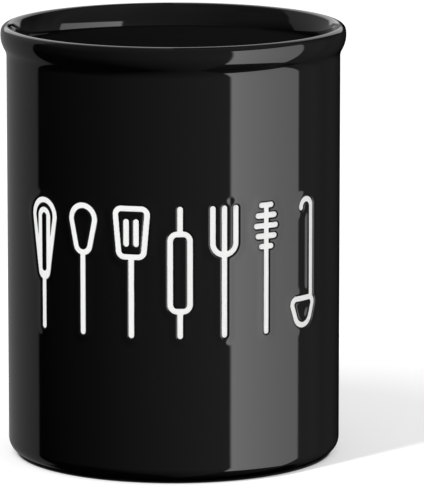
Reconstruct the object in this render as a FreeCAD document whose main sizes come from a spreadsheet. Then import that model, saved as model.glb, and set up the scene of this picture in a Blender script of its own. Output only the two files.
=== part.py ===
import FreeCAD, Part
import math
import os

import Sketcher
from FreeCAD import Vector

# A straight-walled stoneware utensil crock with a rolled, flared rim. Black glaze covers it inside and
# out down to a bare foot ring, and a row of white enamel utensils is let into the front.
# The origin is on the table under the middle of the crock, with +Z up and the front facing -Y.

# Driving sizes in millimetres: name, value, what it measures.
DRIVING_SIZES = (
    ("crock_height", 165, "table to the crest of the lip"),
    ("wall_diameter", 127, "outside of the glazed wall"),
    ("rim_overhang", 2.25, "wall out to the widest line of the rolled rim"),
    ("wall_thickness", 5.2, "through the wall with its glaze"),
    ("floor_thickness", 7, "through the floor with its glaze"),
    ("glaze_thickness", 0.5, "one coat of glaze"),
    ("crown_height", 3.6, "crest of the lip down to the widest line of the rim"),
    ("lip_radius", 2.3, "round of the crest"),
    ("bead_radius", 10.2, "bulge of the rim outside"),
    ("cove_radius", 6.2, "hollow between the rim and the wall"),
    ("flare_radius", 13.5, "turn-out of the lip inside"),
    ("base_radius", 5.2, "round of the outer bottom edge"),
    ("well_radius", 8, "round between the inner wall and the floor"),
    ("foot_height", 0.6, "table to the glazed underside"),
    ("foot_setback", 2.3, "round of the bottom edge in to the foot ring"),
    ("foot_width", 6, "across the foot ring"),
    ("foot_round", 0.3, "softened edges of the foot ring"),
    ("stroke_width", 2.2, "width of the enamel strokes"),
    ("inlay_recess", 0.2, "glazed surface down to the enamel"),
    ("motif_height", 50, "height of the row of utensils"),
    ("motif_middle", 80.5, "table to the middle of the row"),
    ("motif_gap", 6.4, "clear glaze between neighbouring utensils, round the wall"),
    ("whisk_balloon_width", 9.6, "inside the whisk's outer wire"),
    ("whisk_balloon_length", 27, "inside the whisk's outer wire"),
    ("whisk_neck_width", 2.4, "inside both wires at the neck"),
    ("whisk_core_width", 2.6, "inside the whisk's inner wire"),
    ("whisk_core_gap", 1.6, "between the two wires at the top"),
    ("spoon_bowl_width", 8, "inside the bowl's outline"),
    ("spoon_bowl_length", 15.5, "inside the bowl's outline"),
    ("spoon_throat_width", 4, "inside the bowl's outline near the handle"),
    ("turner_head_width", 10, "inside the blade's outline at its edge"),
    ("turner_throat_width", 7.6, "inside the blade's outline near the handle"),
    ("turner_head_length", 16, "inside the blade's outline"),
    ("turner_corner", 1.2, "rounded corners inside the blade's outline"),
    ("turner_slot_length", 8.4, "slots in the blade, between their round ends' centres"),
    ("turner_slot_spacing", 3.8, "between the two slots' centrelines"),
    ("pin_barrel_width", 5.2, "inside the barrel's outline"),
    ("pin_barrel_length", 27, "inside the barrel's outline"),
    ("pin_corner", 1.6, "rounded corners inside the barrel's outline"),
    ("fork_width", 9, "between the outer tines' centrelines"),
    ("fork_tine_length", 13, "straight part of the outer tines"),
    ("dipper_width", 8.6, "longest ring of the dipper, between its round ends' centres"),
    ("dipper_pitch", 3.9, "from one ring of the dipper to the next"),
    ("ladle_bowl_width", 9.6, "inside the bowl's outline"),
    ("ladle_bowl_depth", 8, "inside the bowl's outline"),
    ("ladle_corner", 1, "rounded corners inside the bowl's outline"),
    ("ladle_belly", 3.4, "round of the bowl's lower side"),
    ("ladle_hook", 3, "bend of the hook at the end of the handle"),
)

# Each ring of the honey dipper as a share of its longest one, from the tip down.
DIPPER_RING_SHARES = (0.5, 0.85, 1.0, 0.85, 0.5)

# Points of a sketch element.
START, END, CENTRE = range(1, 4)
# The origin of a sketch and its upright axis.
ORIGIN, UPRIGHT_AXIS = range(-1, -3, -1)

HALF_TURN = 180
TABLE_TOLERANCE = 1e-6


class Size:
    """A length worked out from the sheet: its value, and the expression that binds it."""

    def __init__(self, value, text):
        self.value = value
        self.text = text

    @staticmethod
    def of(number):
        return number if isinstance(number, Size) else Size(float(number), repr(number))

    def joined(self, sign, other, value):
        return Size(value, f"({self.text} {sign} {other.text})")

    def __add__(self, other):
        other = Size.of(other)
        return self.joined("+", other, self.value + other.value)

    def __sub__(self, other):
        other = Size.of(other)
        return self.joined("-", other, self.value - other.value)

    def __mul__(self, other):
        other = Size.of(other)
        return self.joined("*", other, self.value * other.value)

    def __truediv__(self, other):
        other = Size.of(other)
        return self.joined("/", other, self.value / other.value)

    def __neg__(self):
        return Size(-self.value, f"(-{self.text})")


NOTHING = Size(0.0, "0")


doc = FreeCAD.newDocument("utensil_crock")
sheet = doc.addObject("Spreadsheet::Sheet", "sizes")
for row, (alias, value, meaning) in enumerate(DRIVING_SIZES, start=1):
    sheet.set(f"A{row}", meaning)
    sheet.set(f"B{row}", str(value))
    sheet.setAlias(f"B{row}", alias)
doc.recompute()


def size(alias):
    """The driving size of that name."""
    return Size(float(sheet.get(alias)), f"sizes.{alias}")


wall_radius = size("wall_diameter") / 2
rim_radius = wall_radius + size("rim_overhang")
well_wall_radius = wall_radius - size("wall_thickness")
foot_radius = wall_radius - size("base_radius") - size("foot_setback")
glaze = size("glaze_thickness")
stroke = size("stroke_width")
row_top = size("motif_middle") + size("motif_height") / 2
row_bottom = size("motif_middle") - size("motif_height") / 2


# Sketching

def tie(sketch, *constraint, to):
    """Adds a dimension to the sketch and binds it to a size."""
    index = sketch.addConstraint(Sketcher.Constraint(*constraint, to.value))
    sketch.setExpression(f"Constraints[{index}]", to.text)


def pin(sketch, element, point, across=None, up=None):
    """Fixes a point of an element by its distances from the sketch's origin."""
    if across is NOTHING:
        sketch.addConstraint(Sketcher.Constraint("PointOnObject", element, point, UPRIGHT_AXIS))
    elif across is not None:
        tie(sketch, "DistanceX", ORIGIN, START, element, point, to=across)
    if up is not None:
        tie(sketch, "DistanceY", ORIGIN, START, element, point, to=up)


def smooth(sketch, first, first_point, second, second_point):
    """Joins two elements end to end without a corner."""
    sketch.addConstraint(Sketcher.Constraint("Tangent", first, first_point, second, second_point))


def draw_line(sketch, start, end):
    return sketch.addGeometry(Part.LineSegment(Vector(*start, 0), Vector(*end, 0)))


def draw_arc(sketch, centre, radius, from_angle, to_angle):
    """Draws an anticlockwise arc and binds its radius."""
    circle = Part.Circle(Vector(*centre, 0), Vector(0, 0, 1), radius.value)
    arc = sketch.addGeometry(Part.ArcOfCircle(circle, from_angle, to_angle))
    tie(sketch, "Radius", arc, to=radius)
    return arc


def body_sketch(body, name):
    """A sketch on the body's own upright plane, seen from the front."""
    sketch = body.newObject("Sketcher::SketchObject", name)
    plane = next(item for item in body.Origin.OriginFeatures if item.Role == "XZ_Plane")
    sketch.AttachmentSupport = (plane, "")
    sketch.MapMode = "FlatFace"
    return sketch


def draw_skin(sketch, depth, inner_start):
    """Draws the crock's half section at a depth under the glazed surface, from the underside out,
    up the wall, over the lip, down the well and in to the axis. Returns its first and last lines."""
    base_round = size("base_radius") - depth
    cove = size("cove_radius") + depth
    bead = size("bead_radius") - depth
    lip = size("lip_radius") - depth
    flare = size("flare_radius") - depth
    well_round = size("well_radius") + depth
    outside = wall_radius - depth
    inside = well_wall_radius + depth
    underside = size("foot_height") + depth
    floor = size("foot_height") + size("floor_thickness") - depth

    # The arcs' centres are the same at every depth.
    bead_across = rim_radius - size("bead_radius")
    bead_up = size("crock_height") - size("crown_height")
    lip_up = size("crock_height") - size("lip_radius")
    lip_across = bead_across.value + math.sqrt(
        (bead.value - lip.value) ** 2 - (lip_up.value - bead_up.value) ** 2)
    flare_across = inside.value + flare.value
    flare_up = lip_up.value - math.sqrt(
        (flare.value - lip.value) ** 2 - (flare_across - lip_across) ** 2)
    cove_across = outside.value + cove.value
    cove_up = bead_up.value - math.sqrt(
        (cove.value + bead.value) ** 2 - (cove_across - bead_across.value) ** 2)
    base_centre = (outside.value - base_round.value, underside.value + base_round.value)
    well_centre = (inside.value - well_round.value, floor.value + well_round.value)
    bead_low = math.atan2(cove_up - bead_up.value, cove_across - bead_across.value)
    bead_high = math.atan2(lip_up.value - bead_up.value, lip_across - bead_across.value)
    lip_inner = math.atan2(lip_up.value - flare_up, lip_across - flare_across)

    under = draw_line(sketch, (inner_start.value, underside.value), (base_centre[0], underside.value))
    base = draw_arc(sketch, base_centre, base_round, -math.pi / 2, 0)
    wall = draw_line(sketch, (outside.value, base_centre[1]), (outside.value, cove_up))
    hollow = draw_arc(sketch, (cove_across, cove_up), cove, math.pi + bead_low, math.pi)
    bulge = draw_arc(sketch, (bead_across.value, bead_up.value), bead, bead_low, bead_high)
    crest = draw_arc(sketch, (lip_across, lip_up.value), lip, bead_high, lip_inner)
    turn_out = draw_arc(sketch, (flare_across, flare_up), flare, lip_inner, math.pi)
    well = draw_line(sketch, (inside.value, flare_up), (inside.value, well_centre[1]))
    corner = draw_arc(sketch, well_centre, well_round, -math.pi / 2, 0)
    bottom = draw_line(sketch, (well_centre[0], floor.value), (0, floor.value))

    for flat in (under, bottom):
        sketch.addConstraint(Sketcher.Constraint("Horizontal", flat))
    for upright in (wall, well):
        sketch.addConstraint(Sketcher.Constraint("Vertical", upright))
    smooth(sketch, under, END, base, START)
    smooth(sketch, base, END, wall, START)
    smooth(sketch, wall, END, hollow, END)
    smooth(sketch, hollow, START, bulge, START)
    smooth(sketch, bulge, END, crest, START)
    smooth(sketch, crest, END, turn_out, START)
    smooth(sketch, turn_out, END, well, START)
    smooth(sketch, well, END, corner, END)
    smooth(sketch, corner, START, bottom, START)
    pin(sketch, under, START, inner_start, underside)
    pin(sketch, wall, START, outside)
    pin(sketch, bulge, CENTRE, bead_across, bead_up)
    pin(sketch, crest, CENTRE, up=lip_up)
    pin(sketch, well, START, inside)
    pin(sketch, bottom, END, NOTHING, floor)
    return under, bottom


def close(sketch, first, first_point, second, second_point):
    """Closes a gap in an outline with a straight line between two points of it."""
    start = sketch.getPoint(first, first_point)
    end = sketch.getPoint(second, second_point)
    line = draw_line(sketch, (start.x, start.y), (end.x, end.y))
    sketch.addConstraint(Sketcher.Constraint("Coincident", line, START, first, first_point))
    sketch.addConstraint(Sketcher.Constraint("Coincident", line, END, second, second_point))


def turn(body, sketch, name):
    """Turns a half section of the body round the upright axis."""
    revolution = body.newObject("PartDesign::Revolution", name)
    revolution.Profile = sketch
    revolution.ReferenceAxis = (sketch, ["V_Axis"])
    revolution.Angle = 2 * HALF_TURN
    return revolution


# The pot and its glaze

def make_stoneware_body():
    """The fired clay pot, with its foot ring."""
    body = doc.addObject("PartDesign::Body", "stoneware_body")
    pot_sketch = body_sketch(body, "pot_section")
    under, bottom = draw_skin(pot_sketch, glaze, NOTHING)
    close(pot_sketch, bottom, END, under, START)
    turn(body, pot_sketch, "pot")

    foot_sketch = body_sketch(body, "foot_section")
    outer = foot_radius
    inner = foot_radius - size("foot_width")
    top = size("foot_height") + glaze
    corners = ((inner, NOTHING), (outer, NOTHING), (outer, top), (inner, top))
    points = [(across.value, up.value) for across, up in corners]
    sides = [draw_line(foot_sketch, points[i - 1], points[i]) for i in range(len(points))]
    for i, (across, up) in enumerate(corners):
        pin(foot_sketch, sides[i], END, across, up)
        following = sides[(i + 1) % len(sides)]
        foot_sketch.addConstraint(Sketcher.Constraint("Coincident", sides[i], END, following, START))
    foot = turn(body, foot_sketch, "foot_ring")
    doc.recompute()

    edges = [f"Edge{i}" for i, edge in enumerate(foot.Shape.Edges, start=1)
             if edge.BoundBox.ZMax < TABLE_TOLERANCE]
    softened = body.newObject("PartDesign::Fillet", "foot_edges")
    softened.Base = (foot, edges)
    softened.setExpression("Radius", size("foot_round").text)
    return body


def make_glaze_skin():
    """The whole coat of glaze, before the enamel's places are left open."""
    body = doc.addObject("PartDesign::Body", "glaze_skin")
    sketch = body_sketch(body, "glaze_section")
    face_under, face_bottom = draw_skin(sketch, NOTHING, foot_radius)
    back_under, back_bottom = draw_skin(sketch, glaze, foot_radius)
    close(sketch, back_under, START, face_under, START)
    close(sketch, face_bottom, END, back_bottom, END)
    turn(body, sketch, "skin")
    return body


def make_base_glaze():
    """The glazed disc in the recess inside the foot ring."""
    disc = doc.addObject("Part::Cylinder", "base_glaze")
    disc.setExpression("Radius", (foot_radius - size("foot_width")).text)
    disc.setExpression("Height", glaze.text)
    disc.setExpression("Placement.Base.z", size("foot_height").text)
    return disc


# The enamel utensils. Their strokes are drawn flat in front of the wall and pressed straight into it.

def stroke_sketch(name, place):
    """A sketch on the plane that touches the wall at a place along the row."""
    sketch = doc.addObject("Sketcher::SketchObject", name)
    degrees = place / wall_radius * HALF_TURN
    sketch.setExpression(
        "Placement",
        f"placement(vector(0; 0; 0); rotation({degrees.text} / pi; 0; 0))"
        f" * placement(vector(0; -{wall_radius.text}; 0); rotation(0; 0; 90))")
    return sketch


def press(name, outline):
    """Pushes a flat outline through the face of the wall, to the middle of its thickness."""
    prism = doc.addObject("Part::Extrusion", f"{name}_prism")
    prism.Base = outline
    prism.DirMode = "Normal"
    prism.Solid = True
    prism.Symmetric = True
    prism.setExpression("LengthFwd", size("wall_thickness").text)
    return prism


def draw_round_hull(sketch, circles):
    """Draws the band stretched round circles, each across, up and radius, listed anticlockwise."""
    count = len(circles)
    spots = [(across.value, up.value, radius.value) for across, up, radius in circles]
    leaving = []
    for i in range(count):
        across, up, radius = spots[i]
        next_across, next_up, next_radius = spots[(i + 1) % count]
        span = math.hypot(next_across - across, next_up - up)
        heading = math.atan2(next_up - up, next_across - across)
        leaving.append(heading - math.acos((radius - next_radius) / span))
    arcs = []
    for i, (across, up, radius) in enumerate(circles):
        from_angle = leaving[i - 1]
        swept = (leaving[i] - from_angle) % (2 * math.pi)
        arcs.append(draw_arc(sketch, spots[i][:2], radius, from_angle, from_angle + swept))
    for i in range(count):
        following = arcs[(i + 1) % count]
        start = sketch.getPoint(arcs[i], END)
        end = sketch.getPoint(following, START)
        line = draw_line(sketch, (start.x, start.y), (end.x, end.y))
        smooth(sketch, arcs[i], END, line, START)
        smooth(sketch, line, END, following, START)
    for arc, (across, up, radius) in zip(arcs, circles):
        pin(sketch, arc, CENTRE, across, up)


def loop_stroke(name, place, circles):
    """A closed stroke round the outside of a band of circles."""
    sketch = stroke_sketch(name, place)
    draw_round_hull(sketch, circles)
    ring = doc.addObject("Part::Offset2D", f"{name}_ring")
    ring.Source = sketch
    ring.Fill = True
    ring.setExpression("Value", stroke.text)
    return press(name, ring)


def straight_stroke(name, place, first, last):
    """A straight stroke with round ends between two points."""
    sketch = stroke_sketch(name, place)
    draw_round_hull(sketch, [(*first, stroke / 2), (*last, stroke / 2)])
    return press(name, sketch)


def bent_stroke(name, sketch):
    """A stroke with round ends along an open line of a sketch."""
    ribbon = doc.addObject("Part::Offset2D", f"{name}_ribbon")
    ribbon.Source = sketch
    ribbon.Mode = "Pipe"
    ribbon.setExpression("Value", (stroke / 2).text)
    return press(name, ribbon)


def handle_stroke(name, place, top):
    """A straight handle from under the head to the bottom of the row."""
    return straight_stroke(name, place, (NOTHING, top), (NOTHING, row_bottom + stroke / 2))


def teardrop(top, width, length, throat):
    """Circles of a rounded head that narrows downwards, from the top of the inside of its outline."""
    head = width / 2
    foot = throat / 2
    return [(NOTHING, top - head, head), (NOTHING, top - length + foot, foot)]


def four_corners(top, bottom, top_width, bottom_width, radius):
    """Circles at the corners of a blade or barrel, inside its outline."""
    high = top - radius
    low = bottom + radius
    wide = top_width / 2 - radius
    narrow = bottom_width / 2 - radius
    return [(wide, high, radius), (-wide, high, radius), (-narrow, low, radius), (narrow, low, radius)]


def whisk(place):
    head_top = row_top - stroke
    length = size("whisk_balloon_length")
    neck = size("whisk_neck_width")
    core_top = head_top - size("whisk_core_gap") - stroke
    core_bottom = head_top - length + stroke / 2
    return [
        loop_stroke("whisk_outer_wire", place,
                    teardrop(head_top, size("whisk_balloon_width"), length, neck)),
        loop_stroke("whisk_inner_wire", place,
                    teardrop(core_top, size("whisk_core_width"), core_top - core_bottom, neck)),
        handle_stroke("whisk_handle", place, head_top - length - stroke),
    ]


def spoon(place):
    head_top = row_top - stroke
    length = size("spoon_bowl_length")
    return [
        loop_stroke("spoon_bowl", place, teardrop(
            head_top, size("spoon_bowl_width"), length, size("spoon_throat_width"))),
        handle_stroke("spoon_handle", place, head_top - length - stroke),
    ]


def turner(place):
    head_top = row_top - stroke
    length = size("turner_head_length")
    head_bottom = head_top - length
    slot_top = head_top - length / 2 + size("turner_slot_length") / 2
    slot_bottom = slot_top - size("turner_slot_length")
    aside = size("turner_slot_spacing") / 2
    return [
        loop_stroke("turner_blade", place, four_corners(
            head_top, head_bottom, size("turner_head_width"), size("turner_throat_width"),
            size("turner_corner"))),
        straight_stroke("turner_left_slot", place, (-aside, slot_top), (-aside, slot_bottom)),
        straight_stroke("turner_right_slot", place, (aside, slot_top), (aside, slot_bottom)),
        handle_stroke("turner_handle", place, head_bottom - stroke),
    ]


def rolling_pin(place):
    half_length = size("pin_barrel_length") / 2
    barrel_top = size("motif_middle") + half_length
    barrel_bottom = size("motif_middle") - half_length
    width = size("pin_barrel_width")
    return [
        loop_stroke("pin_barrel", place, four_corners(
            barrel_top, barrel_bottom, width, width, size("pin_corner"))),
        straight_stroke("pin_upper_handle", place,
                        (NOTHING, row_top - stroke / 2), (NOTHING, barrel_top + stroke)),
        handle_stroke("pin_lower_handle", place, barrel_bottom - stroke),
    ]


def fork(place):
    bend = size("fork_width") / 2
    tip = row_top - stroke / 2
    shoulder = tip - size("fork_tine_length")
    sketch = stroke_sketch("fork_outer_tines", place)
    left = draw_line(sketch, (-bend.value, tip.value), (-bend.value, shoulder.value))
    round_bend = draw_arc(sketch, (0, shoulder.value), bend, math.pi, 2 * math.pi)
    right = draw_line(sketch, (bend.value, shoulder.value), (bend.value, tip.value))
    smooth(sketch, left, END, round_bend, START)
    smooth(sketch, round_bend, END, right, START)
    pin(sketch, round_bend, CENTRE, NOTHING, shoulder)
    pin(sketch, left, START, -bend, tip)
    pin(sketch, right, END, bend, tip)
    return [bent_stroke("fork_outer_tines", sketch), handle_stroke("fork_stem", place, tip)]


def honey_dipper(place):
    strokes = []
    for i, share in enumerate(DIPPER_RING_SHARES):
        up = row_top - stroke / 2 - size("dipper_pitch") * i
        reach = size("dipper_width") / 2 * share
        strokes.append(straight_stroke(f"dipper_ring_{i}", place, (-reach, up), (reach, up)))
    return strokes + [handle_stroke("dipper_stem", place, row_top - stroke)]


def ladle(place):
    corner = size("ladle_corner")
    belly = size("ladle_belly")
    half_width = size("ladle_bowl_width") / 2
    rim = half_width - corner
    bowl_bottom = row_bottom + stroke
    bowl_top = bowl_bottom + size("ladle_bowl_depth")
    bowl = [(rim, bowl_top - corner, corner), (-rim, bowl_top - corner, corner),
            (NOTHING, bowl_bottom + belly, belly)]

    hook = size("ladle_hook")
    hook_up = row_top - stroke / 2 - hook
    sketch = stroke_sketch("ladle_handle", place)
    shank_foot = bowl_top + stroke / 2
    shank = draw_line(sketch, (half_width.value, shank_foot.value), (half_width.value, hook_up.value))
    bend_across = half_width - hook
    bend = draw_arc(sketch, (bend_across.value, hook_up.value), hook, 0, math.pi)
    smooth(sketch, shank, END, bend, START)
    pin(sketch, shank, START, half_width, shank_foot)
    pin(sketch, bend, CENTRE, bend_across, hook_up)
    pin(sketch, bend, END, up=hook_up)
    return [loop_stroke("ladle_bowl", place, bowl), bent_stroke("ladle_handle", sketch)]


def row_of_utensils():
    """Each utensil with its width round the wall, from left to right."""
    return (
        (whisk, size("whisk_balloon_width") + stroke * 2),
        (spoon, size("spoon_bowl_width") + stroke * 2),
        (turner, size("turner_head_width") + stroke * 2),
        (rolling_pin, size("pin_barrel_width") + stroke * 2),
        (fork, size("fork_width") + stroke),
        (honey_dipper, size("dipper_width") + stroke),
        (ladle, size("ladle_bowl_width") + stroke * 2),
    )


def make_inlay_ring():
    """The layer between the clay and the face of the enamel, as a tall ring round the wall."""
    low = row_bottom - stroke
    rings = []
    for name, radius in (("enamel_face", wall_radius - size("inlay_recess")),
                         ("clay_face", wall_radius - glaze)):
        cylinder = doc.addObject("Part::Cylinder", name)
        cylinder.setExpression("Radius", radius.text)
        cylinder.setExpression("Height", (row_top + stroke - low).text)
        cylinder.setExpression("Placement.Base.z", low.text)
        rings.append(cylinder)
    ring = doc.addObject("Part::Cut", "inlay_ring")
    ring.Base, ring.Tool = rings
    return ring


def make_inlays():
    """The enamel filling of each utensil, and the strokes that leave its place in the glaze."""
    ring = make_inlay_ring()
    row = row_of_utensils()
    row_length = NOTHING
    for _, width in row:
        row_length = row_length + width + size("motif_gap")
    left_edge = (size("motif_gap") - row_length) / 2
    inlays = []
    pressed = []
    for utensil, width in row:
        name = utensil.__name__
        strokes = doc.addObject("Part::MultiFuse", f"{name}_strokes")
        strokes.Shapes = utensil(left_edge + width / 2)
        filling = doc.addObject("Part::Common", f"{name}_inlay")
        filling.Base = strokes
        filling.Tool = ring
        inlays.append(filling)
        pressed.append(strokes)
        left_edge = left_edge + width + size("motif_gap")
    return inlays, pressed


def make_glaze_coat(pressed):
    """The coat of glaze with the enamel's places left open."""
    places = doc.addObject("Part::Compound", "enamel_places")
    places.Links = pressed
    coat = doc.addObject("Part::Cut", "glaze_coat")
    coat.Base = make_glaze_skin()
    coat.Tool = places
    return coat


stoneware_body = make_stoneware_body()
inlays, pressed = make_inlays()
pieces = [stoneware_body, make_glaze_coat(pressed), make_base_glaze(), *inlays]
for piece in pieces:
    piece.Label = piece.Name
doc.recompute()

for item in doc.Objects:
    if "Invalid" in item.State or "Error" in item.State:
        raise RuntimeError(f"{item.Name} failed: {item.State}")
for piece in pieces:
    if piece.Shape.isNull() or not piece.Shape.isValid() or not piece.Shape.Solids:
        raise RuntimeError(f"{piece.Label} is not a valid solid")

os.makedirs("parts", exist_ok=True)
for piece in pieces:
    piece.Shape.exportStep(os.path.join("parts", f"{piece.Label}.step"))
    print(piece.Label, len(piece.Shape.Solids), "solids", round(piece.Shape.Volume, 2), "mm3")
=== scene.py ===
import math

import bmesh
import bpy
import numpy as np
from bpy.props import FloatProperty, FloatVectorProperty, PointerProperty
from bpy.types import Operator, Panel, PropertyGroup
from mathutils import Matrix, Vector


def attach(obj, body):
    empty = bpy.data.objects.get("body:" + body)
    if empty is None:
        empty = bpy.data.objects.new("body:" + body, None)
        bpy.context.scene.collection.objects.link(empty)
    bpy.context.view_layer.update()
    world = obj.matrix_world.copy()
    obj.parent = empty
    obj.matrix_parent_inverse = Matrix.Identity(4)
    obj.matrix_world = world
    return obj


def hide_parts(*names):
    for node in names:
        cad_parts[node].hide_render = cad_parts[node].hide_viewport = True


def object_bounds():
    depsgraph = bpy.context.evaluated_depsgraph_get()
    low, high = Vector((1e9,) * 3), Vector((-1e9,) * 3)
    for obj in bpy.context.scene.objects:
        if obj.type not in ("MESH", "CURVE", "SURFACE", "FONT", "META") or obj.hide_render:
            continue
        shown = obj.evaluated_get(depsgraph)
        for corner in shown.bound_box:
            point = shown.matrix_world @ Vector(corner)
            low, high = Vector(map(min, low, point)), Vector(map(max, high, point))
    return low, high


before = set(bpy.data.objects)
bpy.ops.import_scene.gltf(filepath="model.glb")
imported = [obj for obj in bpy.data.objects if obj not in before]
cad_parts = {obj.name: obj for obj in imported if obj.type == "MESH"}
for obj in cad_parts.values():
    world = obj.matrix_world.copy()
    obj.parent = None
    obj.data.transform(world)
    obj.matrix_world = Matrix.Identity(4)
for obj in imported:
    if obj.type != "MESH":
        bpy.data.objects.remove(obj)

CAD_BOX = [list(corner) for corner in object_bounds()]

bl_info = {
    "name": "Utensil crock",
    "version": (1, 0, 0),
    "blender": (4, 5, 0),
    "location": "3D View > Sidebar > Crock",
    "description": "A gloss black stoneware crock with utensils pressed in and filled with white enamel",
    "category": "Object",
}

MM = 0.001
BODY = "root"
QUARTER_TURN = math.pi / 2
HALF_TURN = math.pi
FULL_TURN = 2 * math.pi

# Steps along the half section of a turned piece: its small rounds, bead, lip and straight runs.
ROUND_STEPS = 6
BEAD_STEPS = 12
LIP_STEPS = 7
RUN_STEPS = 2
ON_AXIS = 1e-9

# Columns round the pot. The front ones are split into cells, and cells beside a groove are split again.
COLUMNS = 150
FRONT_COLUMNS = 52
CELLS_PER_COLUMN = 5
CELL_HEIGHT = 0.6 * MM
CELL_SPLIT = 3
SPLIT_REACH_SHARE = 0.62
UTENSIL_REACH = QUARTER_TURN / 3
WELT_EVENING_PASSES = 14

# The enamel's cells, and how the points along its edge are drawn on to the outline of the stroke.
ENAMEL_CELL = 0.26 * MM
ENAMEL_EDGE = math.radians(50)
EDGE_PASSES = 4
SLOPE_STEP = 0.02 * MM
LEAST_SLOPE = 0.25

# How a brushed stroke wavers: shares of its half width, lengths of the waves up and across, and how far
# the waves move on from one utensil to the next.
SLOW_WAVER_SHARE = 0.03
SLOW_WAVES = (2.1 * MM, 1.9 * MM)
SLOW_SHIFT = 1.7
QUICK_WAVER_SHARE = 0.012
QUICK_WAVES = (0.9 * MM, 1.3 * MM)
QUICK_SHIFT = 2.3

# Length of each honey dipper ring as a share of the longest.
DIPPER_RING_SHARES = (0.5, 0.85, 1.0, 0.85, 0.5)

# How far the glaze in the recess creeps up the foot ring, as a share of its meniscus.
CREEP_SHARE = 0.75

FLOOR_RADIUS = 6.0
FLOOR_SIDES = 96

# The room that the gloss mirrors. Directions are in degrees, turned to the right of the camera and risen
# above level, and a pair of them is a soft edge. The walls' tones go round from behind the crock.
WALL_TONES = (
    (-180, 0.25), (-108.2, 0.28), (-106.4, 0.01), (-85, 0.032), (-52, 0.08), (-30, 0.135), (0, 0.207),
    (18, 0.25), (40, 0.30), (48, 0.22), (90, 0.20), (98, 0.23), (113, 0.18), (126, 0.10), (136, 0.08),
    (154, 0.033), (166, 0.004), (176, 0.0), (180, 0.25))
WALL_LEAN = 0.2
VIEW_DIP = 8.0

# A panel at the left, which bends outwards and ends at its top.
PANEL_SIDE = (-75.0, -55.0)
PANEL_BACK = (-145.0, -130.0)
PANEL_TOP = (42.0, 47.0)
PANEL_BEND_FROM = 22.0
PANEL_BEND = 0.7
PANEL_END_SHADE = 0.85

# The upper walls, lighter to the left and beside the softbox, the ceiling and the lower walls.
UPPER_EDGE = (5.0, 40.0)
UPPER_TONE = 0.015
UPPER_SLOPE = 0.1
BESIDE_TONE = 0.08
BESIDE_LEFT = (40.0, 48.0)
BESIDE_RIGHT = (98.0, 112.0)
CEILING_TONE = 0.06
CEILING_EDGE = (33.0, 60.0)
CEILING_RIGHT = (-40.0, 15.0)
LOWER_FADE = 0.0028
LOWER_RIGHT = (90.0, 120.0)

SOFTBOX_LEVEL = 4.66
SOFTBOX_FADE = 0.0325
SOFTBOX_LEFT = (38.4, 41.2)
SOFTBOX_RIGHT = (95.0, 97.0)
SOFTBOX_FOOT = (-40.5, -38.5)
SOFTBOX_TOP = (18.0, 20.0)

# Painted shade in the mirrored room: the dark of the shaded floor under the crock, which climbs towards the
# back.
PAINTED_SHADE_SIDE = (95.0, 115.0)
PAINTED_SHADE_TOP = (-45.0, -38.0)
PAINTED_SHADE_CLIMB_FROM = 155.0
PAINTED_SHADE_CLIMB = 0.75

BACKDROP_LEVEL = 0.95
BACKDROP_OFFSET = 2.0
BACKDROP_LEAN = 0.35
BACKDROP_SIDE = (156.5, 160.5)
BACKDROP_FOOT = (6.5, 10.5)
BACKDROP_TOP = (38.0, 54.0)


def length(name, description, millimetres):
    """A length of the crock, given in millimetres and kept in metres."""
    return FloatProperty(name=name, description=description, default=millimetres * MM,
                         unit="LENGTH", precision=5)


def angle(name, description, degrees):
    return FloatProperty(name=name, description=description, default=math.radians(degrees),
                         subtype="ANGLE", unit="ROTATION")


def level(name, description, amount):
    return FloatProperty(name=name, description=description, default=amount, min=0.0)


def colour(name, description, red, green, blue):
    return FloatVectorProperty(name=name, description=description, default=(red, green, blue),
                               subtype="COLOR", size=3, min=0.0, max=1.0)


class PotForm(PropertyGroup):
    """Sizes of the turned pot, its glaze and its foot."""

    height: length("Height", "Table to the crest of the lip", CAD_BOX[1][2] / MM)
    rim_radius: length("Rim radius", "Axis to the widest line of the rolled rim", CAD_BOX[1][0] / MM)
    wall_radius: length("Wall radius", "Axis to the glazed wall", 63.5)
    wall_thickness: length("Wall thickness", "Through the wall with its glaze", 5.2)
    floor_thickness: length("Floor thickness", "Through the floor with its glaze", 7.0)
    glaze: length("Glaze", "One coat of glaze", 0.5)
    crown_height: length("Crown height", "Crest of the lip down to the widest line", 3.6)
    lip_radius: length("Lip radius", "Round of the crest", 2.3)
    bead_radius: length("Bead radius", "Bulge of the rim outside", 10.2)
    cove_radius: length("Cove radius", "Hollow between the rim and the wall", 6.2)
    flare_radius: length("Flare radius", "Turn-out of the lip inside", 13.5)
    base_radius: length("Base radius", "Round of the outer bottom edge", 5.2)
    well_radius: length("Well radius", "Round between the inner wall and the floor", 8.0)
    foot_height: length("Foot height", "Table to the glazed underside", 0.6)
    foot_outer: length("Foot outer radius", "Axis to the outside of the bare foot ring", 56.0)
    foot_inner: length("Foot inner radius", "Axis to the inside of the bare foot ring", 50.0)
    foot_round: length("Foot round", "Softened edges of the foot ring", 0.3)
    meniscus: length("Meniscus", "Round of the glaze where it stops against bare clay", 0.4)


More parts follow.
